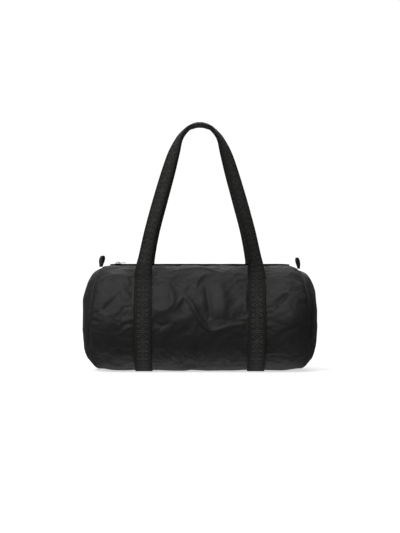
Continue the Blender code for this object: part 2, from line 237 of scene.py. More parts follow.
def radius_at(x):
    along = np.clip((np.abs(x) - STRAIGHT) / SHOULDER, 0, 1)
    return RADIUS * (1 - along**SHOULDER_POWER) ** (1 / SHOULDER_POWER)


def end_at(radius):
    share = np.clip(radius / RADIUS, 0, 1) ** SHOULDER_POWER
    return STRAIGHT + SHOULDER * (1 - share) ** (1 / SHOULDER_POWER)


def seam_at(angle):
    lift = (1 + np.cos(np.radians(angle))) / 2
    return SEAM_SIDE - SEAM_TOP_SHIFT * lift**3 - SEAM_BASE_SHIFT * (1 - lift) ** 3


def tube_x(station, angle):
    """A station along the tube, moved at the rounded ends so that the last station is the seam."""
    beyond = np.clip(np.abs(station) - STRAIGHT, 0, None)
    stretched = STRAIGHT + beyond * (seam_at(angle) - STRAIGHT) / (SEAM_SIDE - STRAIGHT)
    return np.where(beyond > 0, np.sign(station) * stretched, station)


def settle(x, radius, turn):
    """How far the half-empty ends rise at their base corners, or sink at their tops past the slider's way."""
    up = (1 + np.cos(turn)) / 2
    sink = RIGHT_SINK * smooth_step(*RIGHT_SINK_SPAN, x) + LEFT_SINK * smooth_step(*LEFT_SINK_SPAN, -x)
    rise = CORNER_RISE * np.exp(-(((np.abs(x) - CORNER_X) / CORNER_WIDTH) ** 2))
    near_skin = smooth_step(0.3, 0.95, radius / RADIUS)
    return near_skin * (rise * smooth_step(0.60, 0.92, 1 - up) - sink * smooth_step(0.60, 0.95, up))


def skin(x, radius, angle, offset):
    """Points over the skin by offset, with the base softly flattened and the ends settled."""
    along = np.clip((np.abs(x) - STRAIGHT) / SHOULDER, 0, 1)
    slope = np.sign(x) * along ** (SHOULDER_POWER - 1) / SHOULDER
    out = (radius / RADIUS) ** (SHOULDER_POWER - 1) / RADIUS
    length = np.hypot(slope, out)
    reach = radius + offset * out / length
    turn = np.radians(angle)
    z = AXIS_HEIGHT + reach * np.cos(turn)
    rise = (z - BASE_HEIGHT + offset) / BASE_SOFTNESS
    flat = BASE_HEIGHT - offset + BASE_SOFTNESS * (np.logaddexp(0, rise) - 0.12 * np.exp(-(rise**2)))
    z = np.where(rise < 12, np.maximum(flat - 0.35 * BASE_SOFTNESS * np.exp(-np.abs(rise)), 0.0), z)
    z = z + settle(x, radius, turn)
    return np.stack([x + offset * slope / length, -reach * np.sin(turn), z], axis=-1)


def bump_along(x, arc, points, width, height):
    """A rounded ridge along a line drawn on the unrolled skin, tapered at both ends."""
    line = smooth_line([(px, math.radians(angle) * RADIUS) for px, angle in points], 6)
    best = np.full(np.shape(x), 1e9)
    share = np.zeros(np.shape(x))
    for k, (start, end) in enumerate(zip(line, line[1:])):
        run = end - start
        t = np.clip(((x - start[0]) * run[0] + (arc - start[1]) * run[1]) / (run @ run), 0, 1)
        far = np.hypot(x - start[0] - t * run[0], arc - start[1] - t * run[1])
        share = np.where(far < best, (k + t) / (len(line) - 1), share)
        best = np.minimum(best, far)
    taper = np.clip(4 * share * (1 - share), 0, 1) ** 0.6
    crest = np.exp(-(np.sqrt(best**2 + (0.6 * width) ** 2) - 0.6 * width) / (0.62 * width))
    return height * crest * (0.25 + 0.75 * taper)


def puckers(along, away, pitch, reach, height, seed):
    """Small gathers that start at a sewn line and die out away from it."""
    wave = soft_noise(along, away * 0.25, pitch, seed)
    wave = wave + 0.5 * soft_noise(along, away * 0.3, pitch * 0.5, seed + 1)
    return height * wave * np.exp(-away / reach) * (1 - np.exp(-away / 0.0015))


def seam_groove(away, angle):
    """The cloth dips into the end seam and swells just beside it. Both fade at the base."""
    fade = 1 - 0.7 * smooth_step(105, 150, np.abs(angle))
    dip = SEAM_DIP * np.exp(-np.clip(away, 0, None) / 0.0030)
    swell = SEAM_SWELL * np.exp(-(((away - 0.011) / 0.006) ** 2))
    return fade * (swell - dip)


def calm_base(angle):
    return 1 - BASE_CALM * smooth_step(100, 128, angle)


def strap_gathers(x, arc, beside_strap, seed):
    """The small folds beside both straps, deepest on the outer flank of the right one."""
    gathers = np.zeros_like(x)
    for k, strap in enumerate((-STRAP_X, STRAP_X)):
        for j, flank in enumerate((-1, 1)):
            here = (np.sign(x - strap) == flank) & (np.abs(x - strap) < 0.08)
            height = 0.0034 if (k, j) == (1, 1) else 0.0024
            gathers = gathers + here * puckers(arc, beside_strap, 0.0115, 0.012, height, seed + 2 * k + j)
    return gathers


def shell_relief(x, angle, side):
    """How far the cloth lies over its skin: pillows, folds, gathers and grooves.

    Side is -1 for the front half of the sheet and 1 for the back.
    """
    arc = np.radians(angle) * RADIUS
    seed = 10 if side < 0 else 40
    from_seam = seam_at(angle) - np.abs(x)
    from_strap = np.abs(np.abs(x) - STRAP_X) - WEBBING_WIDTH / 2
    beside_strap, beside_seam = np.clip(from_strap, 0, None), np.clip(from_seam, 0, None)
    pillow = 0.0020 * (1 - np.exp(-beside_strap / 0.022)) * smooth_step(0, 0.03, from_seam)
    wide = 0.0022 * soft_noise(x, arc, 0.085, seed)
    small = 0.0012 * soft_noise(x + arc * 0.4, arc, 0.034, seed + 1)
    relief = pillow + wide + small
    for width, height, points in FRONT_FOLDS if side < 0 else BACK_FOLDS:
        relief = relief + FOLD_STRENGTH * bump_along(x, arc, points, width, height)
    relief = relief + strap_gathers(x, arc, beside_strap, seed + 3)
    relief = relief + puckers(arc, beside_seam, 0.013, 0.016, 0.0022, seed + 9)
    relief = relief * smooth_step(-0.0005, 0.005, from_strap) * smooth_step(0, 0.010, from_seam)
    calm_top = 0.35 + 0.65 * smooth_step(10, 38, angle)
    relief = relief * calm_top * calm_base(angle)
    from_zip = np.clip(arc - math.radians(EDGE_ANGLE) * RADIUS, 0, None)
    relief = relief * smooth_step(0, 0.005, from_zip)
    zip_gathers = puckers(x, from_zip, 0.020, 0.014, 0.0010, seed + 11)
    relief = relief + zip_gathers * smooth_step(0, 0.01, from_strap)
    stitch_dip = 0.0008 * np.exp(-(((from_zip - ZIP_STITCH_LINE) / 0.0012) ** 2))
    zip_dip = 0.0012 * (1 - smooth_step(10, 24, angle))
    relief = relief - stitch_dip - zip_dip
    flat_base = 1 - 0.75 * smooth_step(150, 165, angle)
    return relief * flat_base + seam_groove(from_seam, angle) - SKIN_GAP


# Meshes


def make_piece(name, points, faces, material, attributes=None, sharp_below=50):
    data = bpy.data.meshes.new(name)
    data.from_pydata(np.asarray(points, float).tolist(), [], faces)
    for key, values in (attributes or {}).items():
        layer = data.attributes.new(key, "FLOAT_VECTOR", "POINT")
        layer.data.foreach_set("vector", np.asarray(values, np.float32).ravel())
    data.validate()
    data.shade_smooth()
    data.set_sharp_from_angle(angle=math.radians(sharp_below))
    data.materials.append(material)
    piece = bpy.data.objects.new(name, data)
    bpy.context.scene.collection.objects.link(piece)
    return piece


def grid_faces(rows, columns, wrap=False, flip=False):
    """Quads over a grid of points stored row by row. Wrap joins the last column to the first."""
    faces = []
    for i in range(rows - 1):
        for j in range(columns if wrap else columns - 1):
            k = (j + 1) % columns
            face = (i * columns + j, i * columns + k, (i + 1) * columns + k, (i + 1) * columns + j)
            faces.append(face[::-1] if flip else face)
    return faces


def finish_modifiers(piece):
    """Replaces a piece's mesh by what its modifiers make of it."""
    graph = bpy.context.evaluated_depsgraph_get()
    made = bpy.data.meshes.new_from_object(piece.evaluated_get(graph))
    piece.modifiers.clear()
    piece.data = made


def thicken(piece, thickness):
    """Gives a sheet its thickness, inwards."""
    modifier = piece.modifiers.new("thickness", "SOLIDIFY")
    modifier.thickness = thickness
    modifier.offset = -1
    finish_modifiers(piece)


def sheet_grid(stations, angles, side, layer):
    """Points of a sheet over the skin, layer(x, angle) metres proud of it."""
    station, angle = np.meshgrid(stations, angles, indexing="ij")
    x = tube_x(station, angle)
    points = skin(x, radius_at(x), angle, layer(x, angle))
    points[..., 1] *= -side
    cloth = np.stack([x, np.radians(angle) * RADIUS, np.zeros_like(x)], axis=-1)
    return points.reshape(-1, 3), cloth.reshape(-1, 3)


# Cloth


def resampler(count, places):
    """A matrix that reads a smooth curve through evenly spaced values at places from 0 to 1."""
    matrix = np.zeros((len(places), count))
    spot = np.asarray(places) * (count - 1)
    first = np.clip(np.floor(spot).astype(int), 0, count - 2)
    t = spot - first
    weights = (-t + 2 * t**2 - t**3, 2 - 5 * t**2 + 3 * t**3, t + 4 * t**2 - 3 * t**3, t**3 - t**2)
    for step, weight in zip((-1, 0, 1, 2), weights):
        np.add.at(matrix, (np.arange(len(places)), np.clip(first + step, 0, count - 1)), weight / 2)
    return matrix


def cloth_moves(side):
    """The moves of half of the sheet, simulated with cloth to spare and sewn down at its edges and straps."""
    stations = np.linspace(-SEAM_SIDE, SEAM_SIDE, CLOTH_COLUMNS)
    angles = np.linspace(EDGE_ANGLE, 180, CLOTH_ROWS)
    start, _ = sheet_grid(stations, angles, side, lambda x, angle: shell_relief(x, angle, side))
    mesh = bpy.data.meshes.new("cloth")
    mesh.from_pydata(start.tolist(), [], grid_faces(CLOTH_COLUMNS, CLOTH_ROWS, flip=side > 0))
    sheet = bpy.data.objects.new("cloth", mesh)
    bpy.context.scene.collection.objects.link(sheet)
    station, angle = np.meshgrid(stations, angles, indexing="ij")
    sewn = (np.abs(np.abs(station) - STRAP_X) < WEBBING_WIDTH / 2) & (angle > STRAP_END - 3)
    sewn |= (np.abs(station) > SEAM_SIDE - 0.001) | (angle < EDGE_ANGLE + 1.5) | (angle > 168)
    group = sheet.vertex_groups.new(name="sewn")
    group.add(np.flatnonzero(sewn).tolist(), 1.0, "REPLACE")
    group.add(np.flatnonzero(~sewn).tolist(), CLOTH_HOLD, "REPLACE")
    modifier = sheet.modifiers.new("cloth", "CLOTH")
    cloth = modifier.settings
    cloth.vertex_group_mass = "sewn"
    cloth.pin_stiffness = 1.0
    cloth.quality = 5
    cloth.mass = 0.15
    cloth.air_damping = 3.0
    cloth.tension_stiffness = cloth.compression_stiffness = 15
    cloth.shear_stiffness = 6
    cloth.bending_stiffness = 0.15
    cloth.shrink_min = -SPARE_CLOTH
    cloth.effector_weights.gravity = 0
    modifier.collision_settings.use_collision = False
    modifier.point_cache.frame_end = CLOTH_FRAMES
    for moment in range(1, CLOTH_FRAMES + 1):
        bpy.context.scene.frame_set(moment)
    made = sheet.evaluated_get(bpy.context.evaluated_depsgraph_get()).data
    settled = np.zeros(start.size)
    made.vertices.foreach_get("co", settled)
    moves = settled.reshape(-1, 3) - start
    bpy.data.objects.remove(sheet)
    bpy.context.scene.frame_set(1)
    length = np.linalg.norm(moves, axis=1, keepdims=True) + 1e-9
    moves *= CLOTH_CAP * np.tanh(length / CLOTH_CAP) / length
    return moves.reshape(CLOTH_COLUMNS, CLOTH_ROWS, 3)


# Baking a piece's place into its mesh


def open_with_flap(piece):
    """Bakes the piece's transform into its mesh."""
    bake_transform(piece)


# Materials


class Nodes:
    """A material's node tree, with short calls for the nodes used here."""

    def __init__(self, name):
        self.material = bpy.data.materials.new(name)
        self.material.use_nodes = True
        self.tree = self.material.node_tree
        self.shader = self.tree.nodes["Principled BSDF"]

    def link(self, value, socket):
        if isinstance(value, (int, float, tuple)):
            socket.default_value = value
        else:
            self.tree.links.new(value, socket)

    def math(self, operation, *values):
        node = self.tree.nodes.new("ShaderNodeMath")
        node.operation = operation
        for value, socket in zip(values, node.inputs):
            self.link(value, socket)
        return node.outputs[0]

    def attribute(self, name):
        node = self.tree.nodes.new("ShaderNodeAttribute")
        node.attribute_name = name
        return node.outputs["Vector"]

    def split(self, vector):
        node = self.tree.nodes.new("ShaderNodeSeparateXYZ")
        self.link(vector, node.inputs[0])
        return node.outputs

    def noise(self, vector, scale, detail=2.0):
        node = self.tree.nodes.new("ShaderNodeTexNoise")
        self.link(vector, node.inputs["Vector"])
        node.inputs["Scale"].default_value = scale
        node.inputs["Detail"].default_value = detail
        return node.outputs["Fac"]

    def ramp(self, value, low, high, to_low=0.0, to_high=1.0):
        node = self.tree.nodes.new("ShaderNodeMapRange")
        for socket, given in zip(node.inputs, (value, low, high, to_low, to_high)):
            self.link(given, socket)
        return node.outputs[0]

    def mix(self, share, first, second):
        node = self.tree.nodes.new("ShaderNodeMix")
        node.data_type = "RGBA"
        self.link(share, node.inputs["Factor"])
        self.link(first, node.inputs[6])
        self.link(second, node.inputs[7])
        return node.outputs[2]

    def bump(self, height, distance, strength=1.0, under=None):
        node = self.tree.nodes.new("ShaderNodeBump")
        node.inputs["Strength"].default_value = strength
        node.inputs["Distance"].default_value = distance
        self.link(height, node.inputs["Height"])
        if under is not None:
            self.link(under, node.inputs["Normal"])
        return node.outputs[0]

    def wave(self, value, pitch):
        """A rounded wave from 0 to 1 with this pitch, in metres."""
        turn = self.math("MULTIPLY", value, 2 * math.pi / pitch)
        return self.math("MULTIPLY_ADD", self.math("SINE", turn), 0.5, 0.5)

    def set(self, **values):
        for key, value in values.items():
            self.link(value, self.shader.inputs[key.replace("_", " ")])


def nylon_material():
    """Satin nylon: a fine plain weave, soft crinkles and a dull gloss."""
    nodes = Nodes("satin_nylon")
    cloth = nodes.attribute("cloth")
    x, arc, _ = nodes.split(cloth)
    pitch = 0.0007
    warp, weft = nodes.wave(x, pitch), nodes.wave(arc, pitch)
    weave = nodes.math("ABSOLUTE", nodes.math("SUBTRACT", warp, weft))
    crinkle = nodes.noise(cloth, 95.0, 3.0)
    mottle = nodes.noise(cloth, 22.0, 3.0)
    shade = nodes.math("MULTIPLY_ADD", weave, 0.25, nodes.math("MULTIPLY", mottle, 0.75))
    nodes.set(Base_Color=nodes.mix(shade, (0.0062, 0.0062, 0.0070, 1), (0.0115, 0.0113, 0.0120, 1)))
    nodes.set(Roughness=nodes.ramp(mottle, 0.3, 0.7, 0.40, 0.52))
    nodes.set(Specular_IOR_Level=0.36, Sheen_Weight=0.03, Sheen_Roughness=0.45)
    soft = nodes.bump(crinkle, 0.0022, 0.35)
    nodes.set(Normal=nodes.bump(weave, 0.00022, 0.5, soft))
    return nodes.material


def webbing_material():
    """Ribbed webbing with a tone-on-tone woven row of lozenges and bars, a little uneven from handling."""
    nodes = Nodes("webbing")
    threads = nodes.attribute("thread")
    across, along, _ = nodes.split(threads)
    half_repeat, half_width, half_length = 0.0115, 0.0118, 0.0078
    side = nodes.math("ABSOLUTE", across)
    step = nodes.math("PINGPONG", along, half_repeat)
    width_share = nodes.math("DIVIDE", side, half_width)
    lozenge = nodes.math("ADD", width_share, nodes.math("DIVIDE", step, half_length))
    outline = nodes.math("COMPARE", lozenge, 0.86, 0.15)
    core = nodes.math("LESS_THAN", lozenge, 0.30)
    bar_length = nodes.math("LESS_THAN", side, half_width)
    bar = nodes.math("MULTIPLY", nodes.math("COMPARE", step, 0.0096, 0.0011), bar_length)
    figure = nodes.math("MAXIMUM", nodes.math("MAXIMUM", outline, core), bar)
    wear = nodes.noise(threads, 70.0, 3.0)
    shown = nodes.math("MULTIPLY", figure, nodes.ramp(wear, 0.35, 0.65, 0.45, 1.0))
    rib = nodes.wave(along, 0.0016)
    thread = nodes.wave(across, 0.0012)
    twill = nodes.wave(nodes.math("ADD", along, across), 0.0016)
    weave = nodes.math("ADD", nodes.math("MULTIPLY", rib, 0.6), nodes.math("MULTIPLY", thread, 0.4))
    height = nodes.math("ADD", weave, nodes.math("MULTIPLY", figure, nodes.math("ADD", twill, 0.9)))
    fibres = nodes.noise(threads, 900.0, 2.0)
    fuzz = nodes.math("MULTIPLY_ADD", fibres, 0.5, nodes.math("MULTIPLY", wear, 0.5))
    # Painted shade: the base colour darkens towards both edges of the webbing, standing in for the shade
    # beside its rows of stitches.
    edge_shade = nodes.ramp(side, 0.0150, 0.0172)
    ground = nodes.mix(nodes.ramp(fuzz, 0.3, 0.7), (0.0048, 0.0045, 0.0039, 1), (0.0115, 0.0108, 0.0094, 1))
    raised = nodes.mix(shown, ground, (0.0330, 0.0312, 0.0276, 1))
    nodes.set(Base_Color=nodes.mix(edge_shade, raised, (0.0048, 0.0044, 0.0038, 1)))
    nodes.set(Roughness=nodes.ramp(figure, 0.0, 1.0, 0.78, 0.52))
    nodes.set(Specular_IOR_Level=0.28, Sheen_Weight=0.02, Sheen_Roughness=0.6)
    nodes.set(Normal=nodes.bump(height, 0.0005, 0.7))
    return nodes.material


def tape_material(name, shade, pitch):
    """Fine ribbed tape, as on a zip or a bound seam."""
    nodes = Nodes(name)
    position = nodes.tree.nodes.new("ShaderNodeTexCoord").outputs["Object"]
    x, y, _ = nodes.split(position)
    herring = nodes.wave(nodes.math("ADD", x, nodes.math("PINGPONG", y, 0.003)), pitch)
    fuzz = nodes.noise(position, 700.0, 2.0)
    nodes.set(Base_Color=nodes.mix(fuzz, (shade * 0.7,) * 3 + (1,), (shade * 1.4,) * 3 + (1,)))
    nodes.set(Roughness=0.85, Specular_IOR_Level=0.0)
    nodes.set(Normal=nodes.bump(herring, 0.0004, 0.6))
    return nodes.material


def thread_material():
    nodes = Nodes("sewing_thread")
    position = nodes.tree.nodes.new("ShaderNodeTexCoord").outputs["Object"]
    twist = nodes.noise(position, 2400.0, 1.0)
    nodes.set(Base_Color=nodes.mix(twist, (0.0050, 0.0048, 0.0045, 1), (0.0150, 0.0145, 0.0135, 1)))
    nodes.set(Roughness=0.55, Specular_IOR_Level=0.4)
    nodes.set(Normal=nodes.bump(twist, 0.0002, 0.6))
    return nodes.material


def coil_material():
    nodes = Nodes("zip_coil")
    position = nodes.tree.nodes.new("ShaderNodeTexCoord").outputs["Object"]
    wear = nodes.noise(position, 320.0, 3.0)
    nodes.set(Base_Color=nodes.mix(wear, (0.0060, 0.0060, 0.0062, 1), (0.0130, 0.0130, 0.0130, 1)))
    nodes.set(Roughness=nodes.ramp(wear, 0.3, 0.7, 0.34, 0.5))
    nodes.set(Normal=nodes.bump(wear, 0.0002, 0.4))
    return nodes.material


def metal_material():
    """Nickel plate with fine scratches and dulled patches."""
    nodes = Nodes("nickel")
    position = nodes.tree.nodes.new("ShaderNodeTexCoord").outputs["Object"]
    patch = nodes.noise(position, 260.0, 3.0)
    scratch = nodes.noise(nodes.math("MULTIPLY", nodes.split(position)[1], 9.0), 900.0, 3.0)
    nodes.set(Base_Color=nodes.mix(patch, (0.28, 0.26, 0.235, 1), (0.48, 0.455, 0.42, 1)))
    nodes.set(Metallic=1.0, Roughness=nodes.ramp(patch, 0.3, 0.7, 0.20, 0.36))
    nodes.set(Normal=nodes.bump(scratch, 0.00008, 0.5))
    return nodes.material


# Pieces


def make_shell(word, side, material):
    """Half of the bag's sheet, from the zip to the base line."""
    stations = np.linspace(-SEAM_SIDE, SEAM_SIDE, 241)
    fine_end = EDGE_ANGLE + 6  # the rows lie closer together beside the zip
    near_zip = np.linspace(EDGE_ANGLE, fine_end, 8)[:-1]
    angles = np.concatenate([near_zip, np.linspace(fine_end, 180, 150)])
    points, cloth = sheet_grid(stations, angles, side, lambda x, a: shell_relief(x, a, side))
    along = resampler(CLOTH_COLUMNS, (stations / SEAM_SIDE + 1) / 2)
    around = resampler(CLOTH_ROWS, (angles - EDGE_ANGLE) / (180 - EDGE_ANGLE))
    moves = np.einsum("ai,bj,ijk->abk", along, around, cloth_moves(side), optimize=True)
    moves *= calm_base(angles)[None, :, None]
    points += moves.reshape(-1, 3)
    points[:, 2] = np.maximum(points[:, 2], CLOTH + 0.0002)
    faces = grid_faces(len(stations), len(angles), flip=side > 0)
    shell = make_piece(f"shell_{word}", points, faces, material, {"cloth": cloth})
    thicken(shell, CLOTH)
    open_with_flap(shell)
    return shell


def make_end_panel(word, side, material):
    """A domed disc, gathered into its seam."""
    rings, sectors = 44, 260
    share = np.linspace(1, 0.02, rings) ** 0.85
    angle = np.linspace(-180, 180, sectors, endpoint=False)
    share, angle = np.meshgrid(share, angle, indexing="ij")
    edge = radius_at(seam_at(angle))
    radius = edge * share
    inward = edge - radius
    x = side * end_at(radius)
    seed = 70 if side < 0 else 80
    across, up = radius * np.sin(np.radians(angle)), radius * np.cos(np.radians(angle))
    arc = np.radians(angle) * RADIUS
    relief = 0.0024 * soft_noise(across, up, 0.075, seed)
    relief = relief + 0.0012 * soft_noise(across + up * 0.5, up, 0.03, seed + 1)
    wave = np.sin(angle * math.radians(23)) * 0.3
    wave = wave + soft_noise(arc + RADIUS * 4, inward * 0.3, 0.012, seed + 2)
    relief = relief + 0.0019 * wave * np.exp(-inward / 0.017)
    relief = relief * smooth_step(0, 0.012, inward)
    relief = relief + seam_groove(inward, angle)
    points = skin(x, radius, angle, relief - SKIN_GAP).reshape(-1, 3)
    cloth = np.stack([across, up, np.zeros_like(up)], axis=-1).reshape(-1, 3)
    faces = grid_faces(rings, sectors, wrap=True, flip=side < 0)
    middle = tuple(range((rings - 1) * sectors, rings * sectors))
    faces.append(middle if side > 0 else middle[::-1])
    panel = make_piece(f"end_{word}", points, faces, material, {"cloth": cloth})
    thicken(panel, CLOTH)
    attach(panel, "root")
    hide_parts(f"end_panel_{word}")


def ribbon(name, centres, widths, normals, material, half=WEBBING_WIDTH / 2, thickness=WEBBING):
    """Webbing along a line of centres, with rounded selvedges. Widths point across it, normals out of it."""
    half_thickness = thickness / 2
    top = [(-0.985, 0.55), (-0.95, 0.93), (-0.90, 1.0), (-0.6, 0.97), (-0.3, 0.95), (0, 0.94)]
    top = top + [(-a, b) for a, b in top[-2::-1]]
    profile = [(-1.0, 0.0), *top, (1.0, 0.0), *[(a, -b) for a, b in reversed(top)]]
    steps = np.linalg.norm(np.diff(centres, axis=0), axis=1)
    run = np.concatenate([[0], np.cumsum(steps)])
    points, thread = [], []
    for centre, width, normal, length in zip(centres, widths, normals, run):
        for a, b in profile:
            points.append(centre + width * a * half + normal * b * half_thickness)
            thread.append((a * half, length, b))
    count = len(profile)
    faces = grid_faces(len(centres), count, wrap=True)
    faces.append(tuple(range(count))[::-1])
    faces.append(tuple((len(centres) - 1) * count + k for k in range(count)))
    return make_piece(name, points, faces, material, {"thread": thread}, 60)


def skin_path(x, angles, offset):
    """Points, width directions and outward normals along a strap round the bag."""
    angles = np.asarray(angles, float)
    xs = np.full_like(angles, x)
    points = skin(xs, radius_at(xs), angles, np.full_like(angles, offset))
    above = skin(xs, radius_at(xs), angles, np.full_like(angles, offset) + 0.0004)
    tangent = np.gradient(points, axis=0)
    tangent /= np.linalg.norm(tangent, axis=1)[:, None]
    width = np.tile([1.0, 0.0, 0.0], (len(points), 1))
    normal = np.cross(tangent, width)
    outward = above - points
    normal *= np.sign((normal * outward).sum(1) + 1e-12)[:, None]
    return points, width, normal


def make_strap(word, side, webbing, thread):
    angles = np.linspace(STRAP_END + 2, 358 - STRAP_END, 190)
    points, width, normal = skin_path(side * STRAP_X, angles, STRAP_GAP + WEBBING / 2)
    points[:, 2] = np.maximum(points[:, 2], WEBBING / 2 + 0.00005)
    wobble = 0.0004 * soft_noise(points[:, 1] * 3, points[:, 2] * 3, 0.09, 5 + side)
    points[:, 0] += wobble * smooth_step(0, 12, np.minimum(angles, 360 - angles) - STRAP_END - 2)
    foot = np.array([side * STRAP_X, HANDLE_LINE[0][1], HANDLE_LINE[0][2]])
    points = np.vstack([foot, points, foot * (1, -1, 1)])
    width, normal = np.vstack([width[:1], width, width[-1:]]), np.vstack([normal[:1], normal, normal[-1:]])
    strap = ribbon(f"webbing_{word}", points, width, normal, webbing)
    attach(strap, "root")
    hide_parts(f"strap_{word}")
    lines = []
    reach = WEBBING_WIDTH / 2 - STITCH_INSET
    for flank in (-1, 1):
        line = points + width * flank * reach + normal * WEBBING * 0.5
        line[:, 2] = np.maximum(line[:, 2], 0.0006)
        lines.append((line[1:-1], normal[1:-1]))
    for end in (2, -3):
        across = np.linspace(-1, 1, 12)[:, None] * width[end] * reach
        lines.append((points[end] + across + normal[end] * WEBBING * 0.5, np.tile(normal[end], (12, 1))))
    sewn = make_stitches(f"strap_stitches_{word}", lines, thread, STRAP_STITCH)
    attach(sewn, "root")


def make_stitches(name, lines, material, stitch):
    """Runs of small rounded stitches along lines of (points, normals)."""
    pitch, length, radius = stitch
    rings, around = 6, 6
    points, faces = [], []
    for path, normals in lines:
        steps = np.linalg.norm(np.diff(path, axis=0), axis=1)
        run = np.concatenate([[0], np.cumsum(steps)])
        count = max(1, int(run[-1] / pitch))
        for k in range(count):
            middle = (k + 0.5) * run[-1] / count
            spots = np.array([middle - length / 2, middle, middle + length / 2])
            start, centre, end = [np.array([np.interp(s, run, path[:, c]) for c in range(3)]) for s in spots]
            normal = np.array([np.interp(middle, run, normals[:, c]) for c in range(3)])
            normal /= np.linalg.norm(normal) + 1e-12
            along = end - start
            reach = np.linalg.norm(along)
            along /= reach + 1e-12
            beside = np.cross(normal, along)
            first = len(points)
            for i in range(rings):
                t = i / (rings - 1) * 2 - 1
                size = radius * math.sqrt(max(0.04, 1 - t**4))
                sink = -radius * (0.1 + 0.9 * t**2)
                for j in range(around):
                    turn = 2 * math.pi * j / around
                    offset = beside * math.cos(turn) * size + normal * (math.sin(turn) * size + sink)
                    points.append(centre + along * t * reach / 2 + offset)
            for face in grid_faces(rings, around, wrap=True):
                faces.append(tuple(first + index for index in face))
            faces.append(tuple(first + j for j in range(around))[::-1])
            faces.append(tuple(first + (rings - 1) * around + j for j in range(around)))
    return make_piece(name, points, faces, material)


def handle_path(side):
    half = smooth_line(HANDLE_LINE, 9)
    left = half * np.array([-1, 1, 1, 1])
    line = np.concatenate([left, half[-2::-1]])
    tangent = np.gradient(line[:, :3], axis=0)
    tangent /= np.linalg.norm(tangent, axis=1)[:, None]
    flat = np.cross(tangent, [0, -1, 0])
    flat /= np.linalg.norm(flat, axis=1)[:, None]
    face = np.cross(flat, tangent)
    twist = np.radians(line[:, 3])[:, None]
    width = flat * np.cos(twist) + face * np.sin(twist)
    normal = np.cross(tangent, width)
    mirror = np.array([1, side, 1])
    return line[:, :3] * mirror, width * mirror, normal * mirror


def make_handle(word, side, webbing):
    points, width, normal = handle_path(side)
    handle = ribbon(f"webbing_handle_{word}", points, width, normal, webbing)
    if side < 0:
        handle.data.flip_normals()
    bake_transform(handle)
    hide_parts(f"handle_{word}")


def make_end_loop(word, side, webbing):
    """A folded strip of webbing, pinched into the seam at its foot and leaning over a little."""
    low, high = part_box(f"end_loop_{word}")
    pivot = Vector(JOINTS[f"{word}_loop_fold"]["pos_m"])
    height = high.z - low.z - 0.001
    lean, turn, puff = (0.0044, 21, 1.0) if side < 0 else (-0.0044, 9, 0.75)
    rise = [(-0.0010, 0.0), (-0.0013, 0.20), (-0.0022, 0.45), (-0.0027, 0.68), (-0.0021, 0.88), (0.0, 0.955)]
    outline = rise + [(-x, t) for x, t in rise[-2::-1]]
    rows = [(x * puff + lean * t**1.3, 0, t * height) for x, t in outline]
    path = smooth_line(rows, 7)
    tangent = np.gradient(path, axis=0)
    tangent /= np.linalg.norm(tangent, axis=1)[:, None]
    level = np.clip(path[:, 2] / height, 0, 1)
    pinch = 0.62 + 0.38 * smooth_step(0.0, 0.5, level) - 0.30 * smooth_step(0.62, 1.0, level)
    width = np.tile([0.0, 1.0, 0.0], (len(path), 1))
    normal = np.cross(tangent, width)
    spin = np.array(Matrix.Rotation(math.radians(turn), 3, "Z"))
    foot = settle(np.array(pivot.x), RADIUS, 0.0)
    path = path @ spin.T + np.array([pivot.x - side * 0.0006, 0, low.z + foot + 0.0004])
    widths = (width * pinch[:, None]) @ spin.T
    size = {"half": 0.0125, "thickness": 0.0016}
    loop = ribbon(f"webbing_loop_{word}", path, widths, normal @ spin.T, webbing, **size)
    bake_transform(loop)
    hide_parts(f"end_loop_{word}")


def make_binding(word, side, material, thread):
    """The tape folded over the raw edges inside an end seam, with its row of stitches."""
    height, half_thickness = 0.0088, 0.0013
    angle = np.linspace(-180, 180, 240, endpoint=False)
    x = side * seam_at(angle)
    radius = radius_at(x)
    flank = [(0.0, -1.0), (0.25, -1.15), (0.75, -1.0), (1.0, -0.55), (1.04, 0.0)]
    section = flank + [(depth, -across) for depth, across in flank[-2::-1]]
    slope = skin(x, radius, angle, np.full_like(x, -0.001)) - skin(x, radius, angle, np.zeros_like(x))
    inward = slope / np.linalg.norm(slope, axis=1)[:, None]
    start = skin(x, radius, angle, np.full_like(x, -CLOTH - 0.0008))
    start[:, 2] = np.maximum(start[:, 2], BASE_HEIGHT + 0.003)
    tangent = np.roll(start, -1, axis=0) - np.roll(start, 1, axis=0)
    across = np.cross(tangent, inward)
    across /= np.linalg.norm(across, axis=1)[:, None]
    arc = np.radians(angle) * RADIUS
    ruffle = 0.0005 * soft_noise(arc + 1, np.zeros_like(angle), 0.014, 77 + side)[:, None]
    rings = []
    for depth, thick in section:
        rings.append(start + inward * height * depth + across * (half_thickness * thick + ruffle * depth))
    points = np.stack(rings, axis=1).reshape(-1, 3)
    faces = []
    count, columns = len(angle), len(section)
    for i in range(count):
        for j in range(columns - 1):
            k = (i + 1) % count
            faces.append((i * columns + j, i * columns + j + 1, k * columns + j + 1, k * columns + j))
    binding = make_piece(f"binding_{word}", points, faces, material)
    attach(binding, "root")
    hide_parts(f"seam_binding_{word}")
    line = start + inward * 0.0066 + across * 0.0014
    sewn = make_stitches(f"binding_stitches_{word}", [(line, across)], thread, BINDING_STITCH)
    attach(sewn, "root")


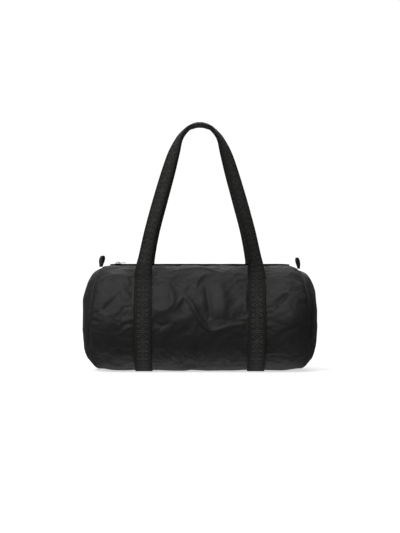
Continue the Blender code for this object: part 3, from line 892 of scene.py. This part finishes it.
def make_hardware(name, material):
    """A zip fitting with its edges rounded as cast metal has them."""
    node = frame["nodes"][name]
    data = node.data.copy()
    data.materials.clear()
    data.materials.append(material)
    piece = bpy.data.objects.new(f"metal_{name}", data)
    bpy.context.scene.collection.objects.link(piece)
    bevel = piece.modifiers.new("edges", "BEVEL")
    bevel.width = 0.00028
    bevel.segments = 3
    bevel.limit_method = "ANGLE"
    bevel.angle_limit = math.radians(35)
    finish_modifiers(piece)
    piece.data.shade_smooth()
    piece.data.set_sharp_from_angle(angle=math.radians(50))
    body = next(key for key, empty in frame["bodies"].items() if empty == node.parent)
    if body == "root":
        for vertex in piece.data.vertices:
            vertex.co.z += float(settle(vertex.co.x, RADIUS, 0.0))
    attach(piece, body)
    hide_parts(name)


def tape_height(x, angle, side):
    """The tape lies low under the coil and the slider, rolls up beside them and dips under the sheet."""
    floor, roll_height, dip_depth = -0.0021, 0.0037, 0.0012
    roll = np.exp(-(((angle - 5.0) / 1.7) ** 2)) * smooth_step(2.9, 4.0, angle)
    wave = 0.0004 * soft_noise(x, np.full_like(x, side * 3.0), 0.03, 91)
    return floor + (roll_height + wave) * roll - dip_depth * smooth_step(8.0, 11.0, angle)


def make_zip_tape(word, side, material):
    """One half of the zip's woven tape, from the coil to under the sheet."""
    stations = np.linspace(-ZIP_END - 0.006, ZIP_END + 0.006, 170)
    angles = np.concatenate([np.linspace(0.24, 2.4, 5), np.linspace(2.9, 11.0, 15)])
    points, _ = sheet_grid(stations, angles, side, lambda x, a: tape_height(x, a, side))
    faces = grid_faces(len(stations), len(angles), flip=side > 0)
    tape = make_piece(f"tape_{word}", points, faces, material)
    thicken(tape, 0.0007)
    open_with_flap(tape)
    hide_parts(f"zip_tape_{word}", f"zip_tape_{word}_left", f"zip_tape_{word}_right")


def make_coil(word, side, material, thread):
    """Half of the zip's coil: rounded teeth that cross the middle and lie between those of the other half."""
    pitch, wire, reach = 0.0014, 0.00034, 0.0034
    count = int(2 * CHAIN_END / pitch) - 1
    rings, around = 7, 6
    points, faces = [], []
    for k in range(count):
        x = -CHAIN_END + (k + 0.5 + (0.25 if side < 0 else 0.75)) * pitch
        centre_height = AXIS_HEIGHT + radius_at(np.array(x)) + settle(np.array(x), RADIUS, 0.0) - 0.00075
        first = len(points)
        for i in range(rings):
            t = i / (rings - 1)
            y = side * (-0.0005 + (reach + 0.0005) * t)
            arch = 0.0009 * math.sin(math.pi * min(1, t * 1.02)) ** 0.6 - 0.0004
            size = wire * (1.35 if i == 0 else 1.0) * (0.35 if i == rings - 1 else 1)
            slant = 0.00022 * (t - 0.5) * side
            height = centre_height + arch
            for j in range(around):
                turn = 2 * math.pi * j / around
                points.append((x + slant + size * math.cos(turn), y, height + size * math.sin(turn)))
        for face in grid_faces(rings, around, wrap=True, flip=side < 0):
            faces.append(tuple(first + index for index in face))
        root = tuple(first + j for j in range(around))
        tip = tuple(first + (rings - 1) * around + j for j in range(around))
        faces.append(root[::-1] if side > 0 else root)
        faces.append(tip if side > 0 else tip[::-1])
    coil = make_piece(f"coil_{word}", points, faces, material)
    open_with_flap(coil)
    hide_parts(f"zip_coil_{word}", f"zip_coil_{word}_left", f"zip_coil_{word}_right")
    xs = np.linspace(-CHAIN_END, CHAIN_END, 90)
    tops = AXIS_HEIGHT + radius_at(xs) + settle(xs, RADIUS, 0.0)
    line = np.stack([xs, np.full_like(xs, side * 0.0026), tops + 0.0002], axis=-1)
    upwards = np.tile([0, 0, 1.0], (len(xs), 1))
    sewn = make_stitches(f"coil_stitches_{word}", [(line, upwards)], thread, COIL_STITCH)
    open_with_flap(sewn)


def make_zip_stitches(word, side, thread):
    """The top stitching that holds the sheet's folded edge to the zip's tape."""
    stations = np.linspace(-ZIP_END + 0.004, ZIP_END - 0.004, 220)
    angle = np.full_like(stations, EDGE_ANGLE + math.degrees(ZIP_STITCH_LINE / RADIUS))
    x = tube_x(stations, angle)
    points = skin(x, radius_at(x), angle, shell_relief(x, angle, side) + 0.0003)
    above = skin(x, radius_at(x), angle, shell_relief(x, angle, side) + 0.0013)
    normals = (above - points) / np.linalg.norm(above - points, axis=1)[:, None]
    mirror = np.array([1, -side, 1])
    line = (points * mirror, normals * mirror)
    sewn = make_stitches(f"zip_stitches_{word}", [line], thread, ZIP_STITCH)
    open_with_flap(sewn)


# Stage, light and camera


def make_floor():
    """A white table that fades out into the white around it."""
    corners = 64
    turns = [2 * math.pi * k / corners for k in range(corners)]
    rim = [(FLOOR_RADIUS * math.cos(turn), FLOOR_RADIUS * math.sin(turn), -0.0002) for turn in turns]
    data = bpy.data.meshes.new("floor")
    data.from_pydata(rim, [], [range(corners)])
    floor = bpy.data.objects.new("floor", data)
    bpy.context.scene.collection.objects.link(floor)
    nodes = Nodes("floor")
    position = nodes.tree.nodes.new("ShaderNodeTexCoord").outputs["Object"]
    length = nodes.tree.nodes.new("ShaderNodeVectorMath")
    length.operation = "LENGTH"
    nodes.link(position, length.inputs[0])
    nodes.set(Base_Color=(0.95, 0.95, 0.95, 1), Roughness=0.9, Specular_IOR_Level=0.0)
    nodes.set(Emission_Color=(1, 1, 1, 1), Emission_Strength=0.62)
    nodes.set(Alpha=nodes.ramp(length.outputs["Value"], 0.45 * FLOOR_RADIUS, FLOOR_RADIUS, 1.0, 0.0))
    data.materials.append(nodes.material)
    floor.visible_glossy = False


def add_light(name, place, target, size, power):
    data = bpy.data.lights.new(name, "AREA")
    data.shape = "RECTANGLE"
    data.size, data.size_y = size
    data.energy = power
    light = bpy.data.objects.new(name, data)
    light.location = place
    light.rotation_euler = (Vector(target) - Vector(place)).to_track_quat("-Z", "Y").to_euler()
    light.visible_camera = False
    bpy.context.scene.collection.objects.link(light)


def make_world():
    """White to look at. To the bag it is a dim studio with the glows of STUDIO_LIGHTS."""
    world = bpy.data.worlds.new("studio")
    world.use_nodes = True
    tree = world.node_tree
    seen = tree.nodes["Background"]
    seen.inputs["Color"].default_value = (1, 1, 1, 1)
    seen.inputs["Strength"].default_value = 1.05
    lit = tree.nodes.new("ShaderNodeBackground")
    place = tree.nodes.new("ShaderNodeTexCoord")
    summed = None
    for towards, low, high, dim, bright in STUDIO_LIGHTS:
        facing = tree.nodes.new("ShaderNodeVectorMath")
        facing.operation = "DOT_PRODUCT"
        facing.inputs[1].default_value = Vector(towards).normalized()
        ramp = tree.nodes.new("ShaderNodeMapRange")
        ramp.interpolation_type = "SMOOTHSTEP"
        for socket, value in zip(ramp.inputs[1:5], (low, high, dim, bright)):
            socket.default_value = value
        tree.links.new(place.outputs["Generated"], facing.inputs[0])
        tree.links.new(facing.outputs["Value"], ramp.inputs["Value"])
        total = tree.nodes.new("ShaderNodeMath")
        total.inputs[1].default_value = 0
        tree.links.new(ramp.outputs["Result"], total.inputs[0])
        if summed is not None:
            tree.links.new(summed, total.inputs[1])
        summed = total.outputs[0]
    tree.links.new(summed, lit.inputs["Strength"])
    path = tree.nodes.new("ShaderNodeLightPath")
    mix = tree.nodes.new("ShaderNodeMixShader")
    tree.links.new(path.outputs["Is Camera Ray"], mix.inputs["Fac"])
    tree.links.new(lit.outputs[0], mix.inputs[1])
    tree.links.new(seen.outputs[0], mix.inputs[2])
    tree.links.new(mix.outputs[0], tree.nodes["World Output"].inputs["Surface"])
    bpy.context.scene.world = world


def make_camera():
    data = bpy.data.cameras.new("camera")
    data.sensor_width = SENSOR
    data.lens = SENSOR * CAMERA_DISTANCE / PICTURE_HEIGHT
    camera = bpy.data.objects.new("camera", data)
    camera.location = (CAMERA_SIDE, -CAMERA_DISTANCE, TOP - CAMERA_BELOW_TOP)
    camera.rotation_euler = (math.radians(90), 0, 0)
    bpy.context.scene.collection.objects.link(camera)
    bpy.context.scene.camera = camera


def main():
    nylon, webbing, thread = nylon_material(), webbing_material(), thread_material()
    # The zip tape's tone, 0.0020, is darker than the nylon: partly the tape's own black, partly painted shade
    # for the shadowed gap beside the zip.
    tape, binding = tape_material("zip_tape", 0.0020, 0.0011), tape_material("binding_tape", 0.011, 0.0018)
    coil, metal = coil_material(), metal_material()
    for word, side in (("front", -1), ("back", 1)):
        make_shell(word, side, nylon)
        make_zip_tape(word, side, tape)
        make_coil(word, side, coil, thread)
        make_zip_stitches(word, side, thread)
        make_handle(word, -side, webbing)
    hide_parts("main_panel", "mouth_panel_front")
    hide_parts("main_panel", "mouth_panel_back")
    for word, side in (("left", -1), ("right", 1)):
        make_end_panel(word, side, nylon)
        make_strap(word, side, webbing, thread)
        make_end_loop(word, side, webbing)
        make_binding(word, side, binding, thread)
    for name in ("slider", "crown", "pull", "top_stop_front", "top_stop_back", "bottom_stop"):
        make_hardware(f"zip_{name}", metal)
    make_floor()
    make_world()
    make_camera()
    add_light("key", (-1.1, -2.0, 1.9), (0, 0, 0.15), (0.8, 0.8), 34)
    add_light("top", (0.1, 0.5, 2.3), (0, 0, 0.1), (2.4, 2.0), 14)
    bpy.context.scene.view_settings.view_transform = "Standard"


main()
